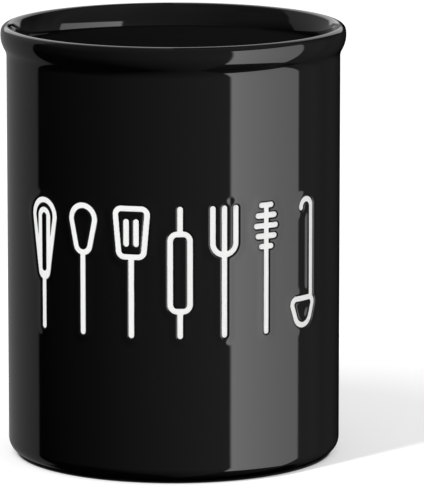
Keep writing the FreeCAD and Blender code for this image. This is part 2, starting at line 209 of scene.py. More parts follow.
class UtensilRow(PropertyGroup):
    """Sizes of the row of enamel utensils and of the welts beside their strokes."""

    stroke: length("Stroke", "Width of the enamel strokes", 2.2)
    height: length("Row height", "Height of the row of utensils", 50.0)
    middle: length("Row middle", "Table to the middle of the row", 80.5)
    gap: length("Gap", "Clear glaze between neighbours, round the wall", 6.4)
    welt: length("Welt", "How far the clay swells beside a pressed stroke", 0.2)
    welt_top: length("Welt top", "Crown of the welt, beyond the groove", 0.3)
    welt_flank: length("Welt flank", "Slope of the welt down to the wall", 2.2)
    groove_side: length("Groove side", "Rounded side of the groove, seen from the front", 0.6)
    recess: length("Recess", "Edge of the enamel below the wall's face", 0.2)
    enamel_dome: length("Enamel dome", "Middle of a stroke above its edge", 0.07)
    whisk_width: length("Whisk width", "Inside the whisk's outer wire", 9.6)
    whisk_length: length("Whisk length", "Inside the whisk's outer wire", 27.0)
    whisk_neck: length("Whisk neck", "Inside both wires at the neck", 2.4)
    whisk_core: length("Whisk core", "Inside the whisk's inner wire", 2.6)
    whisk_core_gap: length("Whisk core gap", "Between the two wires at the top", 1.6)
    spoon_width: length("Spoon width", "Inside the bowl's outline", 8.0)
    spoon_length: length("Spoon length", "Inside the bowl's outline", 15.5)
    spoon_throat: length("Spoon throat", "Inside the bowl's outline near the handle", 4.0)
    turner_width: length("Turner width", "Inside the blade's outline at its edge", 10.0)
    turner_throat: length("Turner throat", "Inside the blade's outline near the handle", 7.6)
    turner_length: length("Turner length", "Inside the blade's outline", 16.0)
    turner_corner: length("Turner corner", "Rounded corners inside the blade's outline", 1.2)
    turner_slot: length("Turner slot", "Slots between their round ends' centres", 8.4)
    turner_spacing: length("Turner spacing", "Between the two slots' centrelines", 3.8)
    pin_width: length("Pin width", "Inside the barrel's outline", 5.2)
    pin_length: length("Pin length", "Inside the barrel's outline", 27.0)
    pin_corner: length("Pin corner", "Rounded corners inside the barrel's outline", 1.6)
    fork_width: length("Fork width", "Between the outer tines' centrelines", 9.0)
    fork_tine: length("Fork tine", "Straight part of the outer tines", 13.0)
    dipper_width: length("Dipper width", "Longest ring between its round ends' centres", 8.6)
    dipper_pitch: length("Dipper pitch", "From one ring to the next", 3.9)
    ladle_width: length("Ladle width", "Inside the bowl's outline", 9.6)
    ladle_depth: length("Ladle depth", "Inside the bowl's outline", 8.0)
    ladle_corner: length("Ladle corner", "Rounded corners inside the bowl's outline", 1.0)
    ladle_belly: length("Ladle belly", "Round of the bowl's lower side", 3.4)
    ladle_hook: length("Ladle hook", "Bend at the top of the handle", 3.0)


class Finish(PropertyGroup):
    """Colours, roughness and texture of the glaze, the enamel and the bare clay."""

    glaze: colour("Glaze", "Gloss black glaze", 0.001, 0.001, 0.001)
    glaze_thin: colour("Thin glaze", "Glaze where it runs thin on the lip", 0.004, 0.004, 0.004)
    # Painted light: the lining is lighter than the outer glaze, standing in for the light that falls inside
    # the crock.
    painted_light_lining: colour("Lining", "Glaze inside the crock, a little greyer", 0.011, 0.011, 0.011)
    enamel: colour("Enamel", "White enamel", 0.93, 0.93, 0.925)
    # Partly painted shade: the greyer edge stands for thin enamel and also for the dark line along each
    # stroke.
    enamel_thin_and_edge_shade: colour("Thin enamel", "Enamel at the edges of a stroke", 0.8, 0.8, 0.8)
    clay: colour("Clay", "Bare stoneware", 0.56, 0.47, 0.37)
    clay_dark: colour("Dark clay", "Scuffed stoneware", 0.40, 0.32, 0.24)
    speck: colour("Speck", "Iron specks in the stoneware", 0.10, 0.065, 0.04)
    glaze_rough: level("Glaze roughness", "Clean glaze", 0.045)
    smudge_rough: level("Smudge roughness", "What smudges add to the glaze", 0.03)
    enamel_rough: level("Enamel roughness", "Smooth enamel", 0.30)
    drag_rough: level("Drag roughness", "What the brush's drag adds to the enamel", 0.16)
    clay_rough: level("Clay roughness", "Smooth bare clay", 0.78)
    grain_rough: level("Grain roughness", "What the open grain adds to the clay", 0.2)
    thin_reach: length("Thin reach", "Crest of the lip down to where the glaze is full", 1.6)
    ripple: length("Ripple", "Slow waves in the glaze", 0.016)
    peel: length("Peel", "Fine dimples in the glaze", 0.0004)
    drag: length("Drag", "Marks that the brush leaves in the enamel", 0.03)
    grain: length("Grain", "Open grain of the bare clay", 0.09)


class Studio(PropertyGroup):
    """Camera, lights and floor."""

    distance: length("Camera distance", "Axis of the crock to the camera, along the floor", 1965.3)
    camera_height: length("Camera height", "Table to the camera", 432.0)
    turn: angle("Camera turn", "How far the camera looks to the right of the axis", 0.428)
    tilt: angle("Camera tilt", "How far the camera looks down", 10.145)
    lens: FloatProperty(name="Lens", description="Focal length", default=385.5, unit="CAMERA")
    key_turn: angle("Key turn", "Key light to the left of the camera", 42.0)
    key_rise: angle("Key rise", "Middle of the key light above the floor", 50.0)
    key_distance: length("Key distance", "Foot of the crock to the key light", 3200.0)
    key_width: length("Key width", "Width of the strip light", 190.0)
    key_length: length("Key length", "Length of the strip light", 2320.0)
    key_power: FloatProperty(name="Key power", description="Power of the strip light", default=59.0,
                             unit="POWER")
    fill_level: level("Fill level", "Soft light from all round", 0.58)
    fill_lean: level("Fill lean", "How much stronger the soft light is from the right", 0.7)
    floor_glow: level("Floor glow", "Part of the floor's white that casts no light", 0.35)
    floor: colour("Floor", "Plain pale floor", 0.9, 0.9, 0.9)
    # Painted shadow: the floor under the crock is coloured dark, and the gloss sees it black.
    painted_contact_shadow: colour("Contact", "Floor under the crock", 0.12, 0.12, 0.12)
    painted_shadow_inset: length("Contact inset", "Wall of the crock in to where the floor is pale", 2.4)
    painted_shadow_edge: length("Contact edge", "Soft edge of the dark floor under the crock", 1.2)


class Value:
    """A shader socket that takes part in Python sums, each of which adds its Math node."""

    def __init__(self, shader, socket):
        self.shader = shader
        self.socket = socket

    def __add__(self, other):
        return self.shader.math("ADD", self, other)

    def __radd__(self, other):
        return self.shader.math("ADD", other, self)

    def __sub__(self, other):
        return self.shader.math("SUBTRACT", self, other)

    def __rsub__(self, other):
        return self.shader.math("SUBTRACT", other, self)

    def __mul__(self, other):
        return self.shader.math("MULTIPLY", self, other)

    def __rmul__(self, other):
        return self.shader.math("MULTIPLY", other, self)

    def __truediv__(self, other):
        return self.shader.math("DIVIDE", self, other)

    def __rtruediv__(self, other):
        return self.shader.math("DIVIDE", other, self)


class Shader:
    """A node tree that is filled in from empty."""

    def __init__(self, tree):
        self.tree = tree
        tree.nodes.clear()

    def node(self, kind, settings=None, sockets=None, output=0):
        """Adds a node, sets it up, gives its sockets values or links, and returns one output."""
        made = self.tree.nodes.new(kind)
        for name, setting in (settings or {}).items():
            if name == "stops":
                self._set_stops(made.color_ramp, setting)
            else:
                setattr(made, name, setting)
        for key, given in (sockets or {}).items():
            if isinstance(given, Value):
                self.tree.links.new(given.socket, made.inputs[key])
            else:
                made.inputs[key].default_value = given
        return Value(self, made.outputs[output]) if made.outputs else None

    @staticmethod
    def _set_stops(ramp, stops):
        while len(ramp.elements) < len(stops):
            ramp.elements.new(1.0)
        for element, (position, grey) in zip(ramp.elements, stops):
            element.position = position
            element.color = (grey, grey, grey, 1.0)

    def math(self, operation, *values):
        return self.node("ShaderNodeMath", {"operation": operation}, dict(enumerate(values)))

    def ray(self, kind):
        """1 for rays of one kind."""
        return self.node("ShaderNodeLightPath", output=f"Is {kind} Ray")

    def place(self):
        """Where a point is on the crock, in metres."""
        return self.node("ShaderNodeTexCoord", output="Object")

    def part(self, vector, axis):
        return self.node("ShaderNodeSeparateXYZ", sockets={0: vector}, output=axis)

    def from_axis(self, place):
        """How far a point is from the crock's axis."""
        flat = self.node("ShaderNodeVectorMath", {"operation": "MULTIPLY"},
                         {0: place, 1: (1.0, 1.0, 0.0)})
        return self.node("ShaderNodeVectorMath", {"operation": "LENGTH"}, {0: flat}, output="Value")

    def noise(self, place, scale, detail=2.0, roughness=0.5):
        return self.node("ShaderNodeTexNoise", sockets={
            "Vector": place, "Scale": scale, "Detail": detail, "Roughness": roughness})

    def rise(self, value, start, end):
        """0 before start, 1 after end and smooth between."""
        return self.node("ShaderNodeMapRange", {"interpolation_type": "SMOOTHSTEP"},
                         {"Value": value, "From Min": start, "From Max": end})

    def window(self, value, opening, closing):
        """1 between two soft edges, each from its start to its end."""
        return self.rise(value, *opening) * (1 - self.rise(value, *closing))

    def blend(self, factor, first, second):
        """A colour between two."""
        return self.node("ShaderNodeMix", {"data_type": "RGBA"},
                         {0: factor, 6: first, 7: second}, output=2)

    def bump(self, height, distance, normal=None):
        sockets = {"Height": height, "Distance": distance}
        if normal:
            sockets["Normal"] = normal
        return self.node("ShaderNodeBump", sockets=sockets)

    def coat(self, base, roughness, normal):
        """The whole surface of a material."""
        surface = self.node("ShaderNodeBsdfPrincipled", sockets={
            "Base Color": base, "Roughness": roughness, "Normal": normal})
        self.node("ShaderNodeOutputMaterial", sockets={"Surface": surface})


def opaque(rgb):
    return (*rgb, 1.0)


def new_material(name):
    material = bpy.data.materials.new(name)
    material.use_nodes = True
    return material, Shader(material.node_tree)


def black_glaze(form, finish):
    """Deep gloss with a slow ripple, faint smudges, a thinner skin over the lip and a lighter lining inside,
    which is painted light.
    """
    material, shader = new_material("black_glaze")
    place = shader.place()
    up = shader.part(place, "Z")
    pooling = shader.noise(place, scale=70.0, detail=3.0)
    thin = shader.rise(up, form.height - finish.thin_reach, form.height) * shader.rise(pooling, 0.35, 0.7)
    smudge = shader.rise(shader.noise(place, scale=28.0, detail=4.0, roughness=0.6), 0.45, 0.75)
    across = shader.from_axis(place)
    lining_radius = form.wall_radius - form.wall_thickness
    flare_foot = glazed_outline(form, 0.0)["inner_wall"][0][1]
    # Painted light: where the lighter lining goes, standing in for the light that falls inside the crock.
    inside = ((1 - shader.rise(across, lining_radius, form.wall_radius - form.glaze))
              * (1 - shader.rise(up, flare_foot, flare_foot + form.lip_radius))
              * shader.rise(up, form.foot_height + form.glaze, form.floor_thickness))
    outer = shader.blend(thin, opaque(finish.glaze), opaque(finish.glaze_thin))
    ripple = shader.bump(shader.noise(place, scale=55.0, detail=1.0), finish.ripple)
    peel = shader.bump(shader.noise(place, scale=700.0, detail=1.0), finish.peel, ripple)
    shader.coat(shader.blend(inside, outer, opaque(finish.painted_light_lining)),
                finish.glaze_rough + finish.smudge_rough * smudge, peel)
    return material


def white_enamel(finish):
    """Satin white laid on by brush, greyer at the edges of each stroke: partly thinner enamel, partly
    painted shade.
    """
    material, shader = new_material("white_enamel")
    inward = shader.node("ShaderNodeAttribute", {"attribute_name": "inward"}, output="Fac")
    uneven = shader.noise(shader.place(), scale=420.0, detail=3.0, roughness=0.6)
    # Greyer towards the edges of each stroke: partly thinner enamel, partly painted shade along the edge.
    past_edge_shade = shader.rise(inward + 0.12 * uneven, 0.04, 0.26)
    shader.coat(shader.blend(past_edge_shade, opaque(finish.enamel_thin_and_edge_shade), opaque(finish.enamel)),
                finish.enamel_rough + finish.drag_rough * uneven, shader.bump(uneven, finish.drag))
    return material


def bare_stoneware(finish):
    """Buff fired clay with iron specks, open grain and scuffs from the table."""
    material, shader = new_material("bare_stoneware")
    place = shader.place()
    grain = shader.noise(place, scale=1400.0, detail=4.0, roughness=0.65)
    scuffs = shader.rise(shader.noise(place, scale=130.0, detail=4.0, roughness=0.6), 0.35, 0.7)
    cells = shader.node("ShaderNodeTexVoronoi", sockets={"Vector": place, "Scale": 620.0})
    specks = 1 - shader.rise(cells, 0.12, 0.24)
    body = shader.blend(scuffs, opaque(finish.clay), opaque(finish.clay_dark))
    shader.coat(shader.blend(specks, body, opaque(finish.speck)),
                finish.clay_rough + finish.grain_rough * grain, shader.bump(grain, finish.grain))
    return material


def pale_floor(form, studio):
    """White paper that keeps the key light's shadow, with a glow of its own, and a painted contact shadow
    under the crock.

    The gloss looks through the paper into the room, and sees a painted black shade under the crock.
    """
    material, shader = new_material("pale_floor")
    pale_from = form.wall_radius - studio.painted_shadow_inset
    # Painted shadow: inside this edge the floor takes the dark contact colour, loses its glow and shows
    # black to the gloss.
    clear = shader.rise(shader.from_axis(shader.place()), pale_from - studio.painted_shadow_edge, pale_from)
    glossy = shader.ray("Glossy")
    black = opaque((0.0, 0.0, 0.0))
    pale = shader.blend(clear, opaque(studio.painted_contact_shadow), opaque(studio.floor))
    paper = shader.node("ShaderNodeBsdfDiffuse", sockets={"Color": shader.blend(glossy, pale, black)})
    seen = clear * (shader.ray("Camera") + shader.ray("Transmission"))
    glow = shader.node("ShaderNodeEmission", sockets={
        "Color": shader.blend(seen, black, opaque((studio.floor_glow,) * 3))})
    lit = shader.node("ShaderNodeAddShader", sockets={0: paper, 1: glow})
    surface = shader.node("ShaderNodeMixShader", sockets={
        0: glossy * clear, 1: lit, 2: shader.node("ShaderNodeBsdfTransparent")})
    shader.node("ShaderNodeOutputMaterial", sockets={"Surface": surface})
    return material


def stretch_arc(centre, radius, start, end, steps, hollow=False):
    """Points and outward normals along an arc, hollow where the clay is outside it."""
    turned = np.linspace(start, end, steps + 1)
    out = np.stack([np.cos(turned), np.sin(turned)], axis=1)
    normals = -out if hollow else out
    return np.hstack([np.asarray(centre) + radius * out, normals])


def stretch_line(first, last, steps=1):
    """Points and normals along a straight run, with its normal on the right of the way it goes."""
    share = np.linspace(0.0, 1.0, steps + 1)[:, None]
    first = np.asarray(first)
    run = np.asarray(last) - first
    normal = np.array([run[1], -run[0]]) / np.hypot(*run)
    return np.hstack([first + share * run, np.broadcast_to(normal, (steps + 1, 2))])


def glazed_outline(form, depth):
    """The stretches of the glazed face, or of what lies at a depth under it.

    They run from the bottom edge up the wall, over the rim and down to the middle of the floor.
    Arcs at every depth share their centres, so the coat has the same thickness everywhere.
    What lies under the face has half as many steps.
    """
    fine = 1 if depth else 2
    wall = form.wall_radius
    inner = wall - form.wall_thickness
    underside = form.foot_height
    floor = underside + form.floor_thickness
    base = (wall - form.base_radius, underside + form.base_radius)
    well = (inner - form.well_radius, floor + form.well_radius)
    bead = (form.rim_radius - form.bead_radius, form.height - form.crown_height)

    lip_up = form.height - form.lip_radius
    lip_reach = form.bead_radius - form.lip_radius
    lip = (bead[0] + math.sqrt(lip_reach ** 2 - (lip_up - bead[1]) ** 2), lip_up)

    cove_across = wall + form.cove_radius
    cove_reach = form.cove_radius + form.bead_radius
    cove = (cove_across, bead[1] - math.sqrt(cove_reach ** 2 - (cove_across - bead[0]) ** 2))

    flare_across = inner + form.flare_radius
    flare_reach = form.flare_radius - form.lip_radius
    flare = (flare_across, lip_up - math.sqrt(flare_reach ** 2 - (flare_across - lip[0]) ** 2))

    def heading(start, end):
        return math.atan2(end[1] - start[1], end[0] - start[0])

    cove_end = heading(cove, bead)
    lip_start = heading(bead, lip)
    lip_end = heading(flare, lip)
    return {
        "base": stretch_arc(base, form.base_radius - depth, -QUARTER_TURN, 0.0, ROUND_STEPS * fine),
        "wall": stretch_line((wall - depth, base[1]), (wall - depth, cove[1])),
        "cove": stretch_arc(cove, form.cove_radius + depth, HALF_TURN, cove_end,
                            ROUND_STEPS * fine, hollow=True),
        "bead": stretch_arc(bead, form.bead_radius - depth, cove_end - HALF_TURN, lip_start,
                            BEAD_STEPS * fine),
        "lip": stretch_arc(lip, form.lip_radius - depth, lip_start, lip_end, LIP_STEPS * fine),
        "flare": stretch_arc(flare, form.flare_radius - depth, lip_end, HALF_TURN, LIP_STEPS * fine),
        "inner_wall": stretch_line((inner + depth, flare[1]), (inner + depth, well[1]), RUN_STEPS * fine),
        "well": stretch_arc(well, form.well_radius + depth, 0.0, -QUARTER_TURN,
                            LIP_STEPS * fine, hollow=True),
        "floor": stretch_line((well[0], floor - depth), (0.0, floor - depth), RUN_STEPS * fine),
    }


def backwards(stretch):
    """A stretch run the other way, with its normals turned over."""
    turned = stretch[::-1].copy()
    turned[:, 2:] *= -1
    return turned


def carry_round(angles, across, up):
    """A point or normal of the half section carried round the axis, from the front."""
    return np.stack([across * np.sin(angles), -across * np.cos(angles),
                     np.broadcast_to(up, angles.shape)], axis=1)


def smooth_mesh(name, points, faces):
    mesh = bpy.data.meshes.new(name)
    mesh.from_pydata(points.tolist(), [], faces)
    mesh.polygons.foreach_set("use_smooth", [True] * len(mesh.polygons))
    return mesh


class Lathe:
    """Gathers rings round the axis and the faces between them, with each corner's own normal."""

    def __init__(self):
        self.points = []
        self.faces = []
        self.normals = []
        self.count = 0

    def ring(self, angles, radius, up):
        """Adds a ring of points and returns their numbers. A ring on the axis is one point."""
        if np.ndim(radius) == 0 and radius < ON_AXIS:
            angles = angles[:1]
        return self.place(angles, radius, up)

    def place(self, angles, radius, up):
        """Adds points and returns their numbers."""
        points = carry_round(angles, radius, up)
        self.points.append(points)
        numbers = np.arange(self.count, self.count + len(points))
        self.count += len(points)
        return numbers

    def face(self, corners, normals):
        self.faces.append([int(corner) for corner in corners])
        self.normals.extend(normals)

    def alike(self, corners, normals):
        """Adds faces with as many corners each."""
        self.faces.extend(corners.tolist())
        self.normals.extend(normals.reshape(-1, 3))

    def spread(self, ends, row):
        """Joins two points to a longer row that runs the same way, on the left of it."""
        (start, end), (start_normal, end_normal) = ends
        numbers, normals = row
        middle = len(numbers) // 2
        for k in range(len(numbers) - 1):
            corner, normal = (start, start_normal) if k < middle else (end, end_normal)
            self.face([corner, numbers[k + 1], numbers[k]], [normal, normals[k + 1], normals[k]])
        self.face([start, end, numbers[middle]], [start_normal, end_normal, normals[middle]])

    def fan(self, corners, normals):
        """Adds a cell beside split ones, as triangles from a corner between two whole sides.

        Its outline has CELL_SPLIT steps a side, numbered -1 where it has no point.
        """
        for start in range(0, len(corners), CELL_SPLIT):
            order = np.roll(np.arange(len(corners)), -start)
            if max(*corners[order[1:CELL_SPLIT]], *corners[order[1 - CELL_SPLIT:]]) < 0:
                break
        kept = order[corners[order] >= 0]
        for second, third in zip(kept[1:-1], kept[2:]):
            self.face(corners[[kept[0], second, third]], normals[[kept[0], second, third]])

    def band(self, lower, upper, lower_normals, upper_normals):
        """Joins two rings that have as many points each, or one of which is a point on the axis."""
        for i in range(max(len(lower), len(upper))):
            j = (i + 1) % max(len(lower), len(upper))
            corners = [(lower, lower_normals, i), (lower, lower_normals, j),
                       (upper, upper_normals, j), (upper, upper_normals, i)]
            if len(lower) == 1:
                corners = corners[1:]
            elif len(upper) == 1:
                corners = corners[:3]
            self.face([ring[k % len(ring)] for ring, _, k in corners],
                      [normals[k] for _, normals, k in corners])

    def mesh(self, name):
        mesh = smooth_mesh(name, np.concatenate(self.points), self.faces)
        mesh.normals_split_custom_set([tuple(normal) for normal in self.normals])
        mesh.update()
        return mesh


def turn_stretches(lathe, angles, stretches, last=None):
    """Turns stretches that follow one another on from a ring, and returns the last ring."""
    for stretch in stretches:
        for (_, _, *first), (across, up, *second) in zip(stretch[:-1], stretch[1:]):
            if last is None:
                last = lathe.ring(angles, *stretch[0, :2])
            following = lathe.ring(angles, across, up)
            lathe.band(last, following, carry_round(angles, *first), carry_round(angles, *second))
            last = following
    return last


def column_angles():
    return np.arange(COLUMNS) * FULL_TURN / COLUMNS - front_half_angle()


def front_half_angle():
    """How far the utensils' cells reach to each side of the front."""
    return FRONT_COLUMNS / 2 * FULL_TURN / COLUMNS


def add_object(name, data):
    made = bpy.data.objects.new(name, data)
    bpy.context.scene.collection.objects.link(made)
    return made


def add_piece(mesh, material, node):
    """Puts a finished mesh in the scene for a node of the frame."""
    piece = add_object(mesh.name, mesh)
    mesh.materials.append(material)
    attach(piece, BODY)
    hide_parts(node)


def straight(first, last):
    """Distance from a straight centreline."""
    first = np.asarray(first)
    run = np.asarray(last) - first

    def distance(across, up):
        along = ((across - first[0]) * run[0] + (up - first[1]) * run[1]) / (run @ run)
        along = np.clip(along, 0.0, 1.0)
        return np.hypot(across - first[0] - along * run[0], up - first[1] - along * run[1])

    return distance


def bend(centre, radius, start, sweep):
    """Distance from a round centreline that sweeps anticlockwise."""
    ends = [(centre[0] + radius * math.cos(turned), centre[1] + radius * math.sin(turned))
            for turned in (start, start + sweep)]

    def distance(across, up):
        turned = (np.arctan2(up - centre[1], across - centre[0]) - start) % FULL_TURN
        on_arc = np.abs(np.hypot(across - centre[0], up - centre[1]) - radius)
        off_arc = np.minimum(*[np.hypot(across - end[0], up - end[1]) for end in ends])
        return np.where(turned <= sweep, on_arc, off_arc)

    return distance


def loop(row, circles):
    """Centreline of a closed stroke round circles, each across, up and radius, anticlockwise."""
    count = len(circles)
    leaving = []
    for i, (across, up, radius) in enumerate(circles):
        next_across, next_up, next_radius = circles[(i + 1) % count]
        span = math.hypot(next_across - across, next_up - up)
        turned = math.atan2(next_up - up, next_across - across)
        leaving.append(turned - math.acos((radius - next_radius) / span))

    def touch(i, turned):
        across, up, radius = circles[i % count]
        reach = radius + row.stroke / 2
        return across + reach * math.cos(turned), up + reach * math.sin(turned)

    strokes = []
    for i, (across, up, radius) in enumerate(circles):
        start = leaving[i - 1]
        sweep = (leaving[i] - start) % FULL_TURN
        strokes.append(bend((across, up), radius + row.stroke / 2, start, sweep))
        strokes.append(straight(touch(i, leaving[i]), touch(i + 1, leaving[i])))
    return strokes


def row_top(row):
    return row.middle + row.height / 2


def row_bottom(row):
    return row.middle - row.height / 2


def handle(row, top):
    """A straight handle from under the head to the bottom of the row."""
    return straight((0.0, top), (0.0, row_bottom(row) + row.stroke / 2))


def teardrop(top, width, depth, throat):
    """Circles of a rounded head that narrows downwards, inside its outline."""
    return [(0.0, top - width / 2, width / 2), (0.0, top - depth + throat / 2, throat / 2)]


def four_corners(top, bottom, top_width, bottom_width, radius):
    """Circles at the corners of a blade or barrel, inside its outline."""
    high = top - radius
    low = bottom + radius
    wide = top_width / 2 - radius
    narrow = bottom_width / 2 - radius
    return [(wide, high, radius), (-wide, high, radius), (-narrow, low, radius), (narrow, low, radius)]


def whisk(row):
    top = row_top(row) - row.stroke
    neck = top - row.whisk_length
    core_top = top - row.whisk_core_gap - row.stroke
    core_depth = core_top - neck - row.stroke / 2
    return [
        *loop(row, teardrop(top, row.whisk_width, row.whisk_length, row.whisk_neck)),
        *loop(row, teardrop(core_top, row.whisk_core, core_depth, row.whisk_neck)),
        handle(row, neck - row.stroke),
    ]


def spoon(row):
    top = row_top(row) - row.stroke
    return [
        *loop(row, teardrop(top, row.spoon_width, row.spoon_length, row.spoon_throat)),
        handle(row, top - row.spoon_length - row.stroke),
    ]


def turner(row):
    top = row_top(row) - row.stroke
    bottom = top - row.turner_length
    slot_top = top - row.turner_length / 2 + row.turner_slot / 2
    slot_bottom = slot_top - row.turner_slot
    slots = [straight((across, slot_top), (across, slot_bottom))
             for across in (-row.turner_spacing / 2, row.turner_spacing / 2)]
    blade = four_corners(top, bottom, row.turner_width, row.turner_throat, row.turner_corner)
    return [*loop(row, blade), *slots, handle(row, bottom - row.stroke)]


def rolling_pin(row):
    top = row.middle + row.pin_length / 2
    bottom = row.middle - row.pin_length / 2
    return [
        *loop(row, four_corners(top, bottom, row.pin_width, row.pin_width, row.pin_corner)),
        straight((0.0, row_top(row) - row.stroke / 2), (0.0, top + row.stroke)),
        handle(row, bottom - row.stroke),
    ]


def fork(row):
    half = row.fork_width / 2
    tip = row_top(row) - row.stroke / 2
    shoulder = tip - row.fork_tine
    return [
        straight((-half, tip), (-half, shoulder)),
        bend((0.0, shoulder), half, HALF_TURN, HALF_TURN),
        straight((half, shoulder), (half, tip)),
        handle(row, tip),
    ]


def honey_dipper(row):
    rings = []
    for i, share in enumerate(DIPPER_RING_SHARES):
        up = row_top(row) - row.stroke / 2 - row.dipper_pitch * i
        reach = row.dipper_width / 2 * share
        rings.append(straight((-reach, up), (reach, up)))
    return [*rings, handle(row, row_top(row) - row.stroke)]


def ladle(row):
    half = row.ladle_width / 2
    rim = half - row.ladle_corner
    bottom = row_bottom(row) + row.stroke
    top = bottom + row.ladle_depth
    bowl = [(rim, top - row.ladle_corner, row.ladle_corner),
            (-rim, top - row.ladle_corner, row.ladle_corner),
            (0.0, bottom + row.ladle_belly, row.ladle_belly)]
    hook_up = row_top(row) - row.stroke / 2 - row.ladle_hook
    return [
        *loop(row, bowl),
        straight((half, top + row.stroke / 2), (half, hook_up)),
        bend((half - row.ladle_hook, hook_up), row.ladle_hook, 0.0, HALF_TURN),
    ]


def utensils(form, row):
    """Each utensil's name, its centrelines and how far round the wall its middle is."""
    around = (
        (whisk, row.whisk_width + 2 * row.stroke),
        (spoon, row.spoon_width + 2 * row.stroke),
        (turner, row.turner_width + 2 * row.stroke),
        (rolling_pin, row.pin_width + 2 * row.stroke),
        (fork, row.fork_width + row.stroke),
        (honey_dipper, row.dipper_width + row.stroke),
        (ladle, row.ladle_width + 2 * row.stroke),
    )
    total = sum(width for _, width in around) + row.gap * (len(around) - 1)
    edge = -total / 2
    placed = []
    for utensil, width in around:
        placed.append((utensil.__name__, utensil(row), (edge + width / 2) / form.wall_radius))
        edge += width + row.gap
    return placed


def nearest(strokes, across, up):
    """Distance to the nearest centreline."""
    return np.minimum.reduce([stroke(across, up) for stroke in strokes])


def smooth_step(share):
    share = np.clip(share, 0.0, 1.0)
    return share * share * (3 - 2 * share)


def soften(field, passes):
    """Evens out creases in a field by averaging each point with its neighbours."""
    for _ in range(passes):
        for axis in (0, 1):
            padded = np.concatenate([np.take(field, [0], axis), field, np.take(field, [-1], axis)], axis)
            before = np.take(padded, range(field.shape[axis]), axis)
            after = np.take(padded, range(2, field.shape[axis] + 2), axis)
            field = (before + 2 * field + after) / 4
    return field


def relief(form, row, angles, heights):
    """How far the glaze stands out from the wall, and how far each point is beyond the strokes.

    Every stroke is pressed into the clay, which swells into a welt on both sides of the groove.
    """
    turned, up = np.meshgrid(angles, heights)
    far = row.groove_side + row.welt_top + row.welt_flank
    beyond = np.full(up.shape, far)
    for _, strokes, middle in utensils(form, row):
        near = np.abs(turned - middle) < UTENSIL_REACH
        across = form.wall_radius * np.sin(turned[near] - middle)
        beyond[near] = np.minimum(beyond[near], nearest(strokes, across, up[near]) - row.stroke / 2)
    flank = (beyond - row.groove_side - row.welt_top) / row.welt_flank
    welt = row.welt * soften(1 - smooth_step(flank), WELT_EVENING_PASSES)
    climb = np.sin(QUARTER_TURN * np.clip(beyond / row.groove_side, 0.0, 1.0))
    return welt - (row.welt + row.recess) * (1 - climb), beyond


def relief_normals(form, swell, angles, heights):
    steep_up, steep_round = np.gradient(swell, heights, angles * form.wall_radius)
    normals = np.stack([
        np.sin(angles) - steep_round * np.cos(angles),
        -np.cos(angles) - steep_round * np.sin(angles),
        -steep_up], axis=2)
    return normals / np.linalg.norm(normals, axis=2)[:, :, None]


def corner_grids(grid, rows, columns):
    """The grid's points at each step across and up a cell, for all the cells at once."""
    def every_cell(step, count):
        return slice(step, step + count * CELL_SPLIT, CELL_SPLIT)

    steps = range(CELL_SPLIT + 1)
    return {(up, across): grid[every_cell(up, rows), every_cell(across, columns)]
            for up in steps for across in steps}


def close_gaps(split):
    """Splits more cells until none has split cells on two opposite sides."""
    while True:
        padded = np.pad(split, 1)
        between = (padded[:-2, 1:-1] & padded[2:, 1:-1]) | (padded[1:-1, :-2] & padded[1:-1, 2:])
        if not (between & ~split).any():
            return split
        split = split | between


def make_front(lathe, form, row, low, high):
    """The front of the wall with its welts and grooves. Returns the points along its four edges."""
    rows = round((high - low) / CELL_HEIGHT)
    columns = FRONT_COLUMNS * CELLS_PER_COLUMN
    angles = np.linspace(-front_half_angle(), front_half_angle(), columns * CELL_SPLIT + 1)
    heights = np.linspace(low, high, rows * CELL_SPLIT + 1)
    swell, beyond = relief(form, row, angles, heights)
    normals = relief_normals(form, swell, angles, heights)

    beside = np.abs(beyond - row.groove_side / 2) < SPLIT_REACH_SHARE * row.groove_side
    split = close_gaps(np.logical_or.reduce(list(corner_grids(beside, rows, columns).values())))
    used = np.zeros(swell.shape, bool)
    used[::CELL_SPLIT, ::CELL_SPLIT] = True
    for grid in corner_grids(used, rows, columns).values():
        grid |= split
    turned, up = np.meshgrid(angles, heights)
    number = np.full(swell.shape, -1)
    number[used] = lathe.place(turned[used], form.wall_radius + swell[used], up[used])

    cell_grids = [corner_grids(grid, rows, columns) for grid in (number, normals)]

    def gather(outline, chosen):
        """Numbers and normals of the points along an outline, for the chosen cells."""
        return [np.stack([grids[step][chosen] for step in outline], axis=1) for grids in cell_grids]

    last = CELL_SPLIT
    steps = range(CELL_SPLIT)
    for i in steps:
        for j in steps:
            lathe.alike(*gather(((i, j), (i, j + 1), (i + 1, j + 1), (i + 1, j)), split))

    outline = ([(0, j) for j in steps] + [(i, last) for i in steps]
               + [(last, last - j) for j in steps] + [(last - i, 0) for i in steps])
    whole, whole_normals = gather(outline, ~split)
    corner_count = len(outline[::last])
    plain = (whole >= 0).sum(axis=1) == corner_count
    lathe.alike(whole[plain][:, ::last], whole_normals[plain][:, ::last])
    for corners, corner_normals in zip(whole[~plain], whole_normals[~plain]):
        lathe.fan(corners, corner_normals)
    edge = slice(None, None, last)
    return {name: (number[place], normals[place]) for name, place in {
        "bottom": (0, edge), "top": (-1, edge), "left": (edge, 0), "right": (edge, -1)}.items()}


